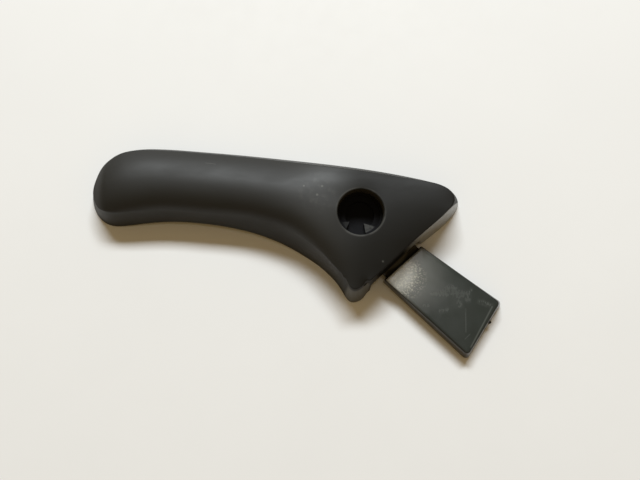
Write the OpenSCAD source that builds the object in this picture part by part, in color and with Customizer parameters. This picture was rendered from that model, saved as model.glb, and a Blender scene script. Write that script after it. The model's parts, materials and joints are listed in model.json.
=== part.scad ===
// Release lever handle for a vehicle door: a hollow crowned grip that widens into a
// triangular head. A hub is keyed into the head under a deep round recess, and a short
// arm swings on the hub, out of a slot in the head's slanted end.
// The origin is on the hub's axis in the plane that the handle is mounted on, +Z points
// out of the door, and the grip runs towards -X.

/* [Grip moulding] */
// Height of the shoulder line above the mounting plane
shoulder_z = 11; // [9:0.5:13]
// Rise of the crown above the shoulder along the grip
grip_crown = 5.8; // [4:0.2:7]
// Rise of the crown above the shoulder at the hub
head_crown = 5.4; // [4:0.2:6]
// How far the wall flares out from the shoulder to the rim
wall_flare = 3.2; // [2:0.2:4]
// Thickness of the moulding's wall
wall_t = 2.4; // [2:0.1:2.6]
// Height of the hollow arch under the grip
arch_rise = 3; // [1:0.5:3.5]

/* [Recess and hub] */
// Diameter of the recess in the head
recess_d = 17; // [15:0.5:18]
// Height of the recess's floor above the mounting plane
recess_floor_z = 8; // [7.5:0.25:8.5]
// Outer diameter of the recess's wall inside the head
recess_wall_d = 22; // [21:0.5:22]
// Diameter of the hub's journal
journal_d = 15; // [14:0.5:15]
// Diameter of the blind bore that takes the door's spindle, from behind
spindle_d = 6; // [5:0.5:7]
// Depth of the spindle's bore
spindle_depth = 3.4; // [2.5:0.1:3.6]
// Distance between the tips of the hub's two lugs
lug_gap = 5.3; // [4:0.1:6]
// Turn of the lugs
lug_turn = -7; // [-20:1:20]

/* [Arm] */
// Direction of the head's end face, seen from the hub
end_face_dir = -48; // [-50:1:-46]
// Angle between the block's centre line and the end face's normal
block_skew = 8.5; // [6:0.5:9]
// Distance from the hub's axis to the block's inner end
block_start = 23.7; // [23:0.1:24.5]
// Length of the block outside the head
block_len = 38.6; // [30:0.1:42]
// Width of the block at the head
block_w_near = 19.6; // [16:0.1:20]
// Width of the block at its far end
block_w_far = 23.8; // [18:0.1:24]
// Thickness of the block
block_t = 5; // [4.8:0.1:6]
// Height of the block's underside above the mounting plane
block_z = 1; // [0.8:0.1:1.5]
// Travel of the arm
arm_travel = 12; // [4:1:12]

/* [Spring] */
// Wire diameter of the return spring
wire_d = 1.2; // [0.8:0.1:1.2]
// Whole turns of the return spring
spring_turns = 2; // [1:1:2]

/* [Hidden] */
$fn = 64;
gap = 0.3;
far = 60;

// The rim's outline in two halves that run from the grip's free end to the middle of the
// end face. Point k of one half lies across the handle from point k of the other, and
// the ridge line of the crown runs between them.
front_rim = [
    [-101.5, 9], [-100.7, 4.2], [-98, -0.3], [-91.5, -3], [-80, -2.8], [-60.4, -3.4],
    [-41.3, -6.8], [-26.1, -11.7], [-14, -19.4], [-7.9, -25.6], [-5.1, -30],
    [-2.4, -31.8], [0.9, -30.6], [8, -23.9], [19.2, -13.7]
];
rear_rim = [
    [-101.5, 9], [-100.5, 13.6], [-97.4, 19.6], [-91.5, 24.9], [-80, 27.1], [-59, 25.9],
    [-38, 24], [-16, 21.5], [4, 18.8], [19, 16.2], [29.6, 13.6],
    [35.5, 10.3], [37.9, 5.6], [36, 1.2], [19.2, -13.7]
];
ridge = [
    [-89, 11.4], [-88.8, 11.4], [-88.4, 11.4], [-87, 11.6], [-80, 12.1], [-60, 11.2],
    [-40, 8.7], [-21, 4.8], [-7, 0.4], [2, -2], [7, -4],
    [9, -5], [10, -5.5], [10.5, -5.6], [11, -6]
];
steps = 4;
head_station = 8 * steps;

// Interior
recess_r = recess_d / 2;
recess_wall_r = recess_wall_d / 2;
journal_r = journal_d / 2;
hub_disc_r = recess_r + 0.5;
hub_disc_z = recess_floor_z - 2.6;
pocket_r = hub_disc_r - 1.4;
pocket_z = recess_floor_z - 1.8;
well_r = journal_r - 2.1;
well_z = spindle_depth + 1;
lug_shift = -0.85;
lug_tip_y = -3.05;
lug_flare = 18;
lug_wedge = 63;
key_turn = 22;
key_r = 1;
key_top_z = recess_floor_z - 0.8;
boss_top_z = shoulder_z + grip_crown - 2;
arch_from = -93;
arch_to = -21;

// Back cover and its screws
plate_t = 1.8;
plate_rise = 0.8;
plate_gap = 0.1;
plate_edge_r = 16;
plate_edge_x = -10.6;
pad_r = 4.2;
pad_t = 2.6;
boss_r = 3.6;
insert_r = 2;
insert_len = 5;
thread_r = 1.5;
head_r = 2.9;
head_t = 1.2;
screw_len = 7;
cover_bosses = [[-89.5, 11.8], [-20.5, 11], [-20.5, -2]];

// Stiffening strip in the grip
spine_start = [-79, 12.1];
spine_end = [-31, 7];
spine_vec = spine_end - spine_start;
spine_len = norm(spine_vec);
spine_dir = atan2(spine_vec.y, spine_vec.x);
spine_w = 10;
spine_t = 2.5;
spine_z = 9;
spine_holes = [6, spine_len - 6];

// Arm, in the frame of the end face: x along the face, y away from the hub
strap_t = 2.5;
washer_t = 0.4;
thrust_z = hub_disc_z - washer_t;
strap_z = thrust_z - gap - strap_t;
lower_z = strap_z - gap - washer_t;
washer_r = 10.2;
eye_r = 10.8;
bush_r = journal_r + 1.5;
running_gap = 0.05;
strap_w = 12;
strap_end = 44;
strap_lean = 2.5;
neck_w = 16;
neck_from = 13;
neck_z = 1.6;
neck_t = 4.2;
block_corner_r = 1.5;
block_end_tilt = 15.5;
rivet_r = 1.5;
rivet_top_z = strap_z + strap_t + 0.5;
rivet_places = [30, 40];
slot_gap = 0.8;
slot_from = -block_w_near / 2 * cos(arm_travel) - block_start * sin(arm_travel) - slot_gap;
slot_to = block_w_near / 2 + slot_gap;
slot_inner = 17;
slot_top = block_z + block_t + 0.8;

// Ring that holds the arm on the hub
ring_t = 0.8;
ring_z = lower_z - 0.1 - ring_t;
ring_groove_r = journal_r - 0.8;
ring_outer_r = journal_r + 1.6;
ring_mouth_w = 6;

// Stops, in the frame of the end face
pad_from = 14;
pad_to = 19;
pad_z = 2;
pad_h = 5;
rest_pad_x = neck_w / 2 + gap;
rest_pad_t = 2.7;
swung_neck_x = -neck_w / 2 * cos(arm_travel)
    - (pad_to + neck_w / 2 * sin(arm_travel)) * tan(arm_travel);
travel_pad_x = swung_neck_x - gap;
travel_pad_t = 2.8;
rib_from = 13;
rib_to = 20.7;
rib_t = 2;

// Return spring: a coil round the recess wall, whose straight ends push on two pins
wire_r = wire_d / 2;
coil_r = recess_wall_r + 0.5 + wire_r;
coil_z = 8.3;
coil_pitch = wire_d + 0.15;
pin_r = 1.3;
anchor_at = [-16.5, 3];
post_at = [-3, 15.6];
post_z = strap_z;
post_top_z = 10;
post_dir = end_face_dir + atan2(post_at.x, post_at.y);
pin_reach = pin_r + wire_r + 0.1;
fixed_leg_dir = atan2(anchor_at.y, anchor_at.x) - acos((coil_r + pin_reach) / norm(anchor_at));
moving_leg_dir = post_dir + acos((coil_r + pin_reach) / norm(post_at));
coil_turn = fixed_leg_dir - moving_leg_dir + 360 * spring_turns;
coil_steps = 60;
fixed_leg = 10.5;
moving_leg = 11;
wire_sides = 8;

// Catmull-Rom spline through p, with n steps between points and the ends held
function spline_at(a, b, c, d, t) =
    0.5 * (2 * b + (c - a) * t + (2 * a - 5 * b + 4 * c - d) * t * t
    + (3 * b - a - 3 * c + d) * t * t * t);
function spline(p, n) = [
    for (i = [0:len(p) - 2]) for (k = [0:n - 1])
        spline_at(p[max(i - 1, 0)], p[i], p[i + 1], p[min(i + 2, len(p) - 1)], k / n),
    p[len(p) - 1]
];

front = spline(front_rim, steps);
rear = spline(rear_rim, steps);
middle = spline(ridge, steps);
half = len(front) - 1;
ring_n = 2 * half;

// Around a ring, j runs along the front half and back along the rear half
function station(j) = j <= half ? j : ring_n - j;
function rim_point(j) = j <= half ? front[j] : rear[ring_n - j];
function toward_ridge(j, d) =
    let (p = rim_point(j), m = middle[station(j)]) p + (m - p) * d / norm(m - p);
function blend(a, b, t) = a + (b - a) * t;
function head_part(j) = min(max((station(j) - head_station + 8) / 16, 0), 1);
function flare(j) = blend(wall_flare, 2.2, station(j) > 12 * steps ? 1 : 0);
function crown(j) = blend(grip_crown, head_crown, head_part(j));
function roundness(j) = blend(2, 3.2, head_part(j));

// A ring of the wall, set in by d, and a ring of the crown at part s of the way in
function wall_ring(d, z) = [
    for (j = [0:ring_n - 1]) let (p = toward_ridge(j, flare(j) * z / shoulder_z + d))
        [p.x, p.y, z]
];
function crown_ring(s, d, drop) = [
    for (j = [0:ring_n - 1])
        let (p = blend(toward_ridge(j, flare(j) + d), middle[station(j)], s))
        let (rise = (crown(j) - drop) * sqrt(1 - pow(1 - s, roundness(j))))
        [p.x, p.y, shoulder_z + rise]
];

// Faces between consecutive rings, and across the last ring from front to rear
function band(a, b, out) = [
    for (j = [0:ring_n - 1]) let (k = (j + 1) % ring_n)
        for (f = [[a + j, b + k, a + k], [a + j, b + j, b + k]])
            out ? f : [f[0], f[2], f[1]]
];
function lid(a, out) = [
    for (i = [0:half - 1])
        let (p = a + i, q = a + i + 1)
        let (r = a + (ring_n - i - 1) % ring_n, s = a + (ring_n - i) % ring_n)
        for (f = i == 0 ? [[p, r, q]] : i == half - 1 ? [[p, s, q]] : [[p, r, q], [p, s, r]])
            out ? f : [f[0], f[2], f[1]]
];

crown_steps = [0.03, 0.1, 0.21, 0.36, 0.55, 0.78];
outer_rings = concat(
    [for (z = [0, shoulder_z]) wall_ring(0, z)],
    [for (s = crown_steps) crown_ring(s, 0, 0)]
);
hollow_steps = [0.08, 0.3, 0.7];
inner_rings = concat(
    [for (z = [0, shoulder_z - 0.5]) wall_ring(wall_t, z)],
    [for (s = hollow_steps) crown_ring(s, wall_t, wall_t)]
);

module moulding_shell() {
    n_out = len(outer_rings);
    n_in = len(inner_rings);
    polyhedron(
        points = [for (r = concat(outer_rings, inner_rings)) each r],
        faces = concat(
            [for (i = [0:n_out - 2]) each band(i * ring_n, (i + 1) * ring_n, true)],
            lid((n_out - 1) * ring_n, true),
            [for (i = [0:n_in - 2]) each band((n_out + i) * ring_n, (n_out + i + 1) * ring_n, false)],
            lid((n_out + n_in - 1) * ring_n, false),
            band(0, n_out * ring_n, false)
        )
    );
}

// A solid that fills the moulding up to its shoulder, drawn in by d
module filled_rim(d) {
    polyhedron(
        points = concat(wall_ring(d, 0), wall_ring(d, shoulder_z)),
        faces = concat(lid(0, false), band(0, ring_n, true), lid(ring_n, true))
    );
}

// Side outline of the space under the grip
function arch_z(x) =
    arch_rise * max(0, 1 - pow((2 * x - arch_from - arch_to) / (arch_to - arch_from), 2));
function arch_line(z) = [
    for (i = [0:16]) let (x = blend(arch_from, arch_to, i / 16)) [x, arch_z(x) + z]
];
function reversed(list) = [for (i = [len(list) - 1:-1:0]) list[i]];

module along_y() {
    translate([0, far, 0]) rotate([90, 0, 0]) linear_extrude(2 * far) children();
}
module end_frame() {
    rotate([0, 0, end_face_dir + 90]) mirror([0, 1, 0]) children();
}
module block_between(low, high) {
    translate(low) cube(high - low);
}
module ring(z, h, r_in, r_out) {
    translate([0, 0, z]) difference() {
        cylinder(h = h, r = r_out);
        translate([0, 0, -1]) cylinder(h = h + 2, r = r_in);
    }
}
module rod(x, y, z_from, z_to, r) {
    translate([x, y, z_from]) cylinder(h = z_to - z_from, r = r);
}
module on_spine() {
    translate(spine_start) rotate([0, 0, spine_dir]) children();
}
module key_rods() {
    for (a = [0, 180]) rotate([0, 0, a + key_turn])
        rod(hub_disc_r, 0, hub_disc_z, key_top_z, key_r);
}
module stop_rib(x) {
    block_between([x, rib_from, pad_z], [x + rib_t, rib_to, shoulder_z - 0.2]);
}

// Height at which the back cover's underside and its screw pads lie
function pad_low(p) = arch_z(p.x) + plate_rise;
function boss_low(p) = pad_low(p) + pad_t + plate_gap;

module grip_cover() {
    color([0.17, 0.17, 0.155]) difference() {
        union() {
            moulding_shell();
            rod(0, 0, hub_disc_z, boss_top_z, recess_wall_r);
            for (p = cover_bosses) rod(p.x, p.y, boss_low(p), boss_top_z, boss_r);
            on_spine() for (x = spine_holes) rod(x, 0, spine_z + spine_t, boss_top_z, boss_r);
            end_frame() {
                stop_rib(rest_pad_x + rest_pad_t);
                stop_rib(travel_pad_x - travel_pad_t - rib_t);
            }
        }
        rod(0, 0, recess_floor_z, far, recess_r);
        rod(0, 0, 0, recess_floor_z, hub_disc_r);
        key_rods();
        for (p = cover_bosses) {
            rod(p.x, p.y, 0, boss_low(p) + insert_len, insert_r);
            rod(p.x, p.y, 0, boss_low(p) + insert_len + 1.5, thread_r);
        }
        on_spine() for (x = spine_holes) rod(x, 0, spine_z, boss_top_z - 1, thread_r);
        rod(anchor_at.x, anchor_at.y, 0, boss_top_z, pin_r);
        end_frame() block_between([slot_from, slot_inner, -1], [slot_to, far, slot_top]);
        along_y() polygon(concat(arch_line(0), [[arch_to, -far], [arch_from, -far]]));
    }
}

module back_cover() {
    color([0.12, 0.12, 0.12]) difference() {
        union() {
            intersection() {
                filled_rim(wall_t + plate_gap);
                along_y() polygon(concat(
                    [[-far * 2, plate_rise + plate_t], [-far * 2, plate_rise]],
                    arch_line(plate_rise),
                    [[far, plate_rise], [far, plate_rise + plate_t]],
                    reversed(arch_line(plate_rise + plate_t))
                ));
            }
            for (p = cover_bosses) rod(p.x, p.y, pad_low(p), pad_low(p) + pad_t, pad_r);
        }
        rod(0, 0, -1, far, plate_edge_r);
        block_between([plate_edge_x, -far, -1], [far, far, far]);
        for (p = cover_bosses) {
            rod(p.x, p.y, 0, pad_low(p) + head_t, head_r + 0.2);
            rod(p.x, p.y, 0, far, thread_r + 0.2);
        }
    }
}

module spine_plate() {
    color([0.62, 0.62, 0.6]) on_spine() difference() {
        union() {
            block_between([0, -spine_w / 2, spine_z], [spine_len, spine_w / 2, spine_z + spine_t]);
            for (x = [0, spine_len]) rod(x, 0, spine_z, spine_z + spine_t, spine_w / 2);
        }
        for (x = spine_holes) rod(x, 0, 0, far, thread_r + 0.1);
        for (x = [0.3, 0.5, 0.7]) rod(x * spine_len, 0, 0, far, 2.2);
    }
}

module spine_screws() {
    color([0.75, 0.75, 0.73]) on_spine() for (x = spine_holes) {
        rod(x, 0, spine_z - head_t, spine_z, head_r);
        rod(x, 0, spine_z, boss_top_z - 1.5, thread_r - 0.05);
    }
}

module thread_inserts() {
    color([0.72, 0.58, 0.3]) for (p = cover_bosses) translate([p.x, p.y, 0])
        ring(boss_low(p), insert_len, thread_r, insert_r);
}

module cover_screws() {
    color([0.7, 0.7, 0.7]) for (p = cover_bosses) {
        rod(p.x, p.y, pad_low(p), pad_low(p) + head_t, head_r);
        rod(p.x, p.y, pad_low(p) + head_t, pad_low(p) + head_t + screw_len, thread_r - 0.05);
    }
}

// Two wedges that stand in the hub's pocket, either side of a gap that widens outwards
module hub_lugs() {
    intersection() {
        rod(0, 0, spindle_depth + 0.5, recess_floor_z, pocket_r + 0.5);
        rotate([0, 0, lug_turn]) for (side = [-1, 1])
            let (tip = [lug_shift + side * lug_gap / 2, lug_tip_y])
            linear_extrude(far) polygon([
                tip,
                tip + far * [side * sin(lug_flare), -cos(lug_flare)],
                tip + far * [side * sin(lug_flare + lug_wedge), -cos(lug_flare + lug_wedge)]
            ]);
    }
}

module pivot_hub() {
    color([0.1, 0.1, 0.1]) difference() {
        union() {
            rod(0, 0, hub_disc_z, recess_floor_z, hub_disc_r);
            rod(0, 0, 0, hub_disc_z, journal_r);
        }
        difference() {
            union() {
                rod(0, 0, pocket_z, far, pocket_r);
                rod(0, 0, well_z, far, well_r);
            }
            hub_lugs();
        }
        rod(0, 0, -1, spindle_depth, spindle_d / 2);
        ring(ring_z - 0.05, ring_t + 0.1, ring_groove_r, journal_r + 1);
        key_rods();
    }
}

module hub_keys() {
    color([0.7, 0.7, 0.7]) key_rods();
}

module thrust_washer() {
    color([0.85, 0.84, 0.78]) ring(thrust_z, washer_t, journal_r + 0.1, washer_r);
}

module lower_washer() {
    color([0.75, 0.75, 0.73]) ring(lower_z, washer_t, journal_r + 0.1, washer_r);
}

module retaining_ring() {
    color([0.4, 0.4, 0.42]) difference() {
        ring(ring_z, ring_t, ring_groove_r, ring_outer_r);
        block_between([0, -ring_mouth_w / 2, 0], [far, ring_mouth_w / 2, far]);
    }
}

// Each place along the wire is its centre and the direction of its section
function wire_end(turn, z, along) = [
    coil_r * cos(turn) + along * sin(turn), coil_r * sin(turn) - along * cos(turn), z, turn
];
wire_path = concat(
    [wire_end(fixed_leg_dir, coil_z + coil_pitch * coil_turn / 360, -fixed_leg)],
    [for (i = [0:coil_steps]) let (t = i / coil_steps)
        wire_end(fixed_leg_dir - coil_turn * t, coil_z + coil_pitch * coil_turn / 360 * (1 - t), 0)],
    [wire_end(moving_leg_dir, coil_z, moving_leg)]
);

module return_spring() {
    n = len(wire_path);
    color([0.5, 0.5, 0.52]) polyhedron(
        points = [for (p = wire_path) for (k = [0:wire_sides - 1])
            let (a = 360 * k / wire_sides)
            [p.x + wire_r * cos(a) * cos(p[3]), p.y + wire_r * cos(a) * sin(p[3]),
                p.z + wire_r * sin(a)]],
        faces = concat(
            [[for (k = [0:wire_sides - 1]) wire_sides - 1 - k]],
            [for (i = [0:n - 2]) for (k = [0:wire_sides - 1])
                let (a = i * wire_sides, b = a + wire_sides, m = (k + 1) % wire_sides)
                for (f = [[a + k, a + m, b + m], [a + k, b + m, b + k]]) f],
            [[for (k = [0:wire_sides - 1]) (n - 1) * wire_sides + k]]
        )
    );
}

module spring_anchor() {
    color([0.75, 0.75, 0.73]) rod(anchor_at.x, anchor_at.y, coil_z, boss_top_z, pin_r);
}

module rest_stop_pad() {
    color([0.06, 0.06, 0.06]) end_frame()
        block_between([rest_pad_x, pad_from, pad_z], [rest_pad_x + rest_pad_t, pad_to, pad_z + pad_h]);
}

module travel_stop_pad() {
    color([0.06, 0.06, 0.06]) end_frame() block_between(
        [travel_pad_x - travel_pad_t, pad_from, pad_z], [travel_pad_x, pad_to, pad_z + pad_h]
    );
}

// Plan of the strap's bar, and the block's centre line in the frame of the end face
module strap_bar() {
    polygon([
        [-strap_w / 2, 0], [strap_w / 2, 0],
        [strap_w / 2 + strap_lean, strap_end], [-strap_w / 2 + strap_lean, strap_end]
    ]);
}
function on_block_line(y) = [(y - block_start) * tan(block_skew), y];
block_end = [block_len * sin(block_skew), block_start + block_len * cos(block_skew)];
block_end_half = block_w_far / 2 * [cos(block_end_tilt), -sin(block_end_tilt)];

module arm_strap() {
    color([0.6, 0.6, 0.58]) end_frame() difference() {
        union() {
            rod(0, 0, strap_z, strap_z + strap_t, eye_r);
            translate([0, 0, strap_z]) linear_extrude(strap_t) strap_bar();
        }
        rod(0, 0, 0, far, bush_r);
        for (y = rivet_places) rod(on_block_line(y).x, y, 0, far, rivet_r);
        rod(post_at.x, post_at.y, 0, far, pin_r);
    }
}

module arm_bush() {
    color([0.7, 0.5, 0.25]) ring(strap_z, strap_t, journal_r + running_gap, bush_r);
}

module arm_block() {
    color([0.1, 0.1, 0.1]) end_frame() difference() {
        union() {
            translate([0, 0, block_z]) linear_extrude(block_t)
                offset(r = block_corner_r) offset(delta = -block_corner_r) polygon([
                    [-block_w_near / 2, block_start], [block_w_near / 2, block_start],
                    block_end + block_end_half, block_end - block_end_half
                ]);
            block_between(
                [-neck_w / 2, neck_from, neck_z], [neck_w / 2, block_start + 2, neck_z + neck_t]
            );
        }
        translate([0, 0, strap_z]) linear_extrude(strap_t) strap_bar();
        for (y = rivet_places) rod(on_block_line(y).x, y, 0, rivet_top_z, rivet_r);
        rod(post_at.x, post_at.y, post_z, far, pin_r);
    }
}

module arm_rivets() {
    color([0.7, 0.7, 0.7]) end_frame()
        for (y = rivet_places) rod(on_block_line(y).x, y, block_z, rivet_top_z, rivet_r);
}

module spring_post() {
    color([0.75, 0.75, 0.73]) end_frame() rod(post_at.x, post_at.y, post_z, post_top_z, pin_r);
}

grip_cover();
back_cover();
spine_plate();
spine_screws();
thread_inserts();
cover_screws();
pivot_hub();
hub_keys();
thrust_washer();
lower_washer();
retaining_ring();
return_spring();
spring_anchor();
rest_stop_pad();
travel_stop_pad();
arm_strap();
arm_bush();
arm_block();
arm_rivets();
spring_post();
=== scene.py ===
"""Release lever handle of a vehicle door: the moulded grip, the swinging arm and their finishes."""

import json
import math

import bmesh
import bpy
import numpy as np
from mathutils import Matrix, Vector


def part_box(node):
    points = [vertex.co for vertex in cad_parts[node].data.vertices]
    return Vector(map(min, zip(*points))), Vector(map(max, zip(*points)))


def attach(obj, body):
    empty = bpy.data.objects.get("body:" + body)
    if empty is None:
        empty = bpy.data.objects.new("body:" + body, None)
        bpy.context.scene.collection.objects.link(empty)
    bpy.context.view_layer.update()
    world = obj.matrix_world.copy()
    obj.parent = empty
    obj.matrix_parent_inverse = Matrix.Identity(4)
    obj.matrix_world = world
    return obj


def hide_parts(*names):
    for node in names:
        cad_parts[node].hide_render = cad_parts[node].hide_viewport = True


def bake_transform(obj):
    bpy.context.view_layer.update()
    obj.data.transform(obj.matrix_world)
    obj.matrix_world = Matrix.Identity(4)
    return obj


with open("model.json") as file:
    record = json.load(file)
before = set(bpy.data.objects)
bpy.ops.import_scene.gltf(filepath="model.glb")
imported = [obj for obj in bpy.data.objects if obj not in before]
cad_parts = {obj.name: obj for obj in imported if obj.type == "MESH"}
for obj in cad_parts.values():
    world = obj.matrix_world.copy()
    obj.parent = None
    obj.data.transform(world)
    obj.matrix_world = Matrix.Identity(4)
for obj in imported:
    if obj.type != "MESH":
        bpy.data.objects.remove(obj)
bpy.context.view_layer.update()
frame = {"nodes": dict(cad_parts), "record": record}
MM = 0.001

# ---------------------------------------------------------------- driving values
# Lengths are in mm, except those of the floor and the lamps.
# The moulding's shoulder, which rises to the head and falls at the grip's free end
SHOULDER_Z = 11.0
HEAD_RISE = 2.2
HEAD_FROM, HEAD_TO = -34.0, 0.0
END_FALL = 1.8
END_FALL_FROM, END_FALL_TO = -99.0, -93.5

# Its wall, how far the hollow's shoulder stays below the outer one, and the arch of its rim
WALL = 2.4
INNER_DROP = 0.6
INNER_SOFT = 0.5
ARCH_RISE = 3.0
ARCH_FROM, ARCH_TO = -93.0, -21.0

# Its crown: the greatest rise and how fast it is reached, on the grip and on the head
GRIP_DOME = (9.2, 0.0136)
HEAD_DOME = (8.3, 0.0033)
CEILING_Z = 16.95
CEILING_SOFT = 0.35
# The skin's extra load at the front of the grip, and where it fades out towards the head
FRONT_LOAD = 1.2
FRONT_LOAD_FROM, FRONT_LOAD_TO = -24.0, 6.0
# The skin's value along the end face, and that face's corners, in points of each half outline
END_EDGE_LIFT = 44.0
END_CORNER_FRONT, END_CORNER_REAR = 16.2, 16.7
END_CORNER_SOFT = 0.7
# The step below the shoulder that keeps its edge tight, and a limit for slanting insets
EDGE_SOFT = 0.8
LEAST_SQUARENESS = 0.5

# The recess, the hub's seat under it and the end face with the arm's slot
HOLE_R = 8.5
HOLE_FILLET = 0.45
HOLE_EDGE_DEGREES = (30, 60, 90)
# Heights of two rings on the recess's wall
HOLE_Z = (15.2, 12.0)
FLOOR_Z = 8.0
FLOOR_FILLET = 0.3
SEAT_R = 9.0
BOSS_R = 11.0
BOSS_Z = 5.4
BOSS_FILLET = 0.4
BOSS_TOP_Z = 9.0
SEAT_RINGS = slice(6, 11)
END_DIR = math.radians(-48)
END_REACH = 23.0
SLOT_FROM, SLOT_TO = -15.3, 10.6
SLOT_TOP = 6.8
# How far the hollow gives way beside the slot, in full at its corner and less further on
SLOT_EASE = 1.7
SLOT_EASE_SHARES = (1.0, 0.66, 0.33)
RIM_CREASE, SEAT_CREASE, SLOT_CREASE = 0.6, 0.8, 0.85

# The back cover's plate, and the posts that its screws go into
PLATE_RISE = 0.8
PAD_T = 2.6
POST_GAP, POST_RISE, RIB_RISE = 0.1, 2.5, 1.0
BOSS_POST_R = 3.6
BOSS_POST_SIDES = 32
# Inset and height of the rings at a post's foot
BOSS_POST_FOOT = ((0.5, 0.0), (0.12, 0.1), (0.0, 0.45))
COVER_BOSSES = ((-89.5, 11.8), (-20.5, 11.0), (-20.5, -2.0))

# The arm's block, across the head's end face and out from the hub
BLOCK_START = 23.7
BLOCK_LEN = 38.3
BLOCK_SKEW = math.radians(8.4)
BLOCK_END_TILT = math.radians(15.5)
BLOCK_W_NEAR = 18.9
BLOCK_W_FAR = 23.2
BLOCK_NEAR_DRAFT = 0.4
BLOCK_DRAFT = 1.1
BLOCK_END_DRAFT = 1.2
BLOCK_EDGE_R = 0.9
# Inset and height of the rings at its foot, and over its crowned top
BLOCK_FOOT = ((0.3, 0.0), (0.05, 0.12), (0.0, 0.4), (0.0, 2.2))
BLOCK_CROWN = 0.1
BLOCK_CROWN_SPAN = 8.0
BLOCK_CROWN_STEPS = (0.5, 1.6, 3.2, 5.2, 7.2)
BLOCK_CORNER_R = (0.7, 0.7, 1.6, 1.6)
BLOCK_LEAST_R = 0.12
BLOCK_ARC_STEPS = 6
BLOCK_EDGE_DEGREES = (22, 45, 68, 90)
# The moulding gate on its far end
GATE_SHARE, GATE_PLACE, GATE_Z = 0.7, 0.35, 1.9
GATE_LOW, GATE_HIGH = (-0.5, -0.6), (0.5, 0.5)
GATE_T, GATE_EDGE = 1.0, 0.12
# The neck that joins it to the hub, and the ribs that its stops meet
NECK_W = 16.0
NECK_FROM = 13.0
NECK_Z = 1.6
NECK_T = 4.2
NECK_OVERLAP = 0.3
REST_RIB_X, TRAVEL_RIB_X = 11.0, -17.3
RIB_FROM, RIB_TO = 13.0, 20.7
RIB_T = 2.0
PAD_Z = 2.0

# The return spring
WIRE_R = 0.6
COIL_R = 12.1
COIL_Z = 8.3
COIL_PITCH = 1.35
SPRING_TURNS = 2
PIN_R = 1.3
FIXED_LEG = 10.5
MOVING_LEG = 11.0
ANCHOR_AT = (-16.5, 3.0)
POST_AT = (-3.0, 15.6)
LEG_GAP = 0.1
WIRE_SIDES = 12
COIL_STEPS = 120

# The cover screws, as radii and heights over the plate: the socket, then the rest
SOCKET_LOBES = 6
SOCKET_LOBE = 0.18
SCREW_SIDES = 36
SCREW_SOCKET = ((0.9, 0.8), (1.0, 0.1), (1.12, 0.0))
SCREW_TURNED = (
    (1.7, 0.02), (2.3, 0.12), (2.7, 0.35), (2.88, 0.7), (2.88, 1.1), (2.8, 1.2), (1.5, 1.2),
    (1.45, 1.3), (1.45, 7.8), (1.0, 8.2),
)

# The grip's finish. Zones and marks are placed in mm in the handle's frame.
GRIP_DARK, GRIP_LIGHT = (0.013, 0.0133, 0.0122), (0.016, 0.0163, 0.015)
GRIP_SPECULAR = 0.36
NECK_SPECULAR = 0.44
HEAD_SPECULAR = 0.2
SHEEN_GRIP_TO, SHEEN_NECK, SHEEN_HEAD_FROM = -32.0, -16.0, 1.0
HEAD_TONE = (0.006, 0.0058, 0.0046)
HEAD_TONE_FROM, HEAD_TONE_TO = -8.0, 6.0
GRIP_ROUGH = 0.54
MARK_COLOUR = (0.16, 0.16, 0.145)
MARK_SHARE, DUST_SHARE, RUBBED_SHARE = 0.35, 0.3, 0.1
GRIP_LINE = ((-56.6, 18.2), (-53.0, 17.8), 0.12)
GRIP_DOTS = (
    ((-20.6, 9.3), 0.2, 0.3), ((-15.8, 6.0), 0.25, 0.35), ((-14.0, 9.3), 0.25, 0.35),
    ((7.8, -18.1), 0.2, 0.3),
)
RUBBED_AT, RUBBED_R, RUBBED_SOFT = (-16.0, 7.5), 3.0, 7.0
# The end face below the shoulder is painted near-black as shade, and its part towards +X is painted
# pale as a reflection; the face also gets its own roughness and specular level.
END_WALL_OUT = (END_REACH - 2.4, END_REACH - 2.1)
END_WALL_TOP = (SHOULDER_Z + 2.8, SHOULDER_Z + 3.4)
END_WALL_FROM, END_WALL_REFLECTION_X = (4.5, 6.5), (15.0, 20.5)
END_WALL_PAINTED_SHADE, END_WALL_PAINTED_REFLECTION = (0.002, 0.002, 0.0018), (0.21, 0.21, 0.2)
END_WALL_ROUGH, END_WALL_SPECULAR, PALE_SPECULAR = 0.3, 0.3, 0.4
# The wall round the head's lower tip, painted lighter as a reflection.
TIP_AT, TIP_R, TIP_SOFT = (0.0, -30.5), 5.0, 1.5
TIP_X, TIP_Z = (2.5, 4.5), (10.5, 12.0)
TIP_PAINTED_REFLECTION, TIP_SHARE = (0.19, 0.19, 0.18), 0.5
# The top of the recess's wall is painted paler as light, and its rim gets a painted highlight line.
RECESS_REACH, RECESS_SOFT = HOLE_R + 0.04, 0.1
RECESS_TOP = (14.4, 15.0)
RECESS_PAINTED_LIGHT = (0.05, 0.048, 0.042)
LIP_OUT, LIP_IN = (HOLE_R + 0.45, 0.5), (HOLE_R - 0.3, 0.3)
LIP_PAINTED_HIGHLIGHT = (0.075, 0.075, 0.07)

# The arm's finish
ARM_DARK, ARM_LIGHT = (0.019, 0.0255, 0.0245), (0.0255, 0.0335, 0.0325)
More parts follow.
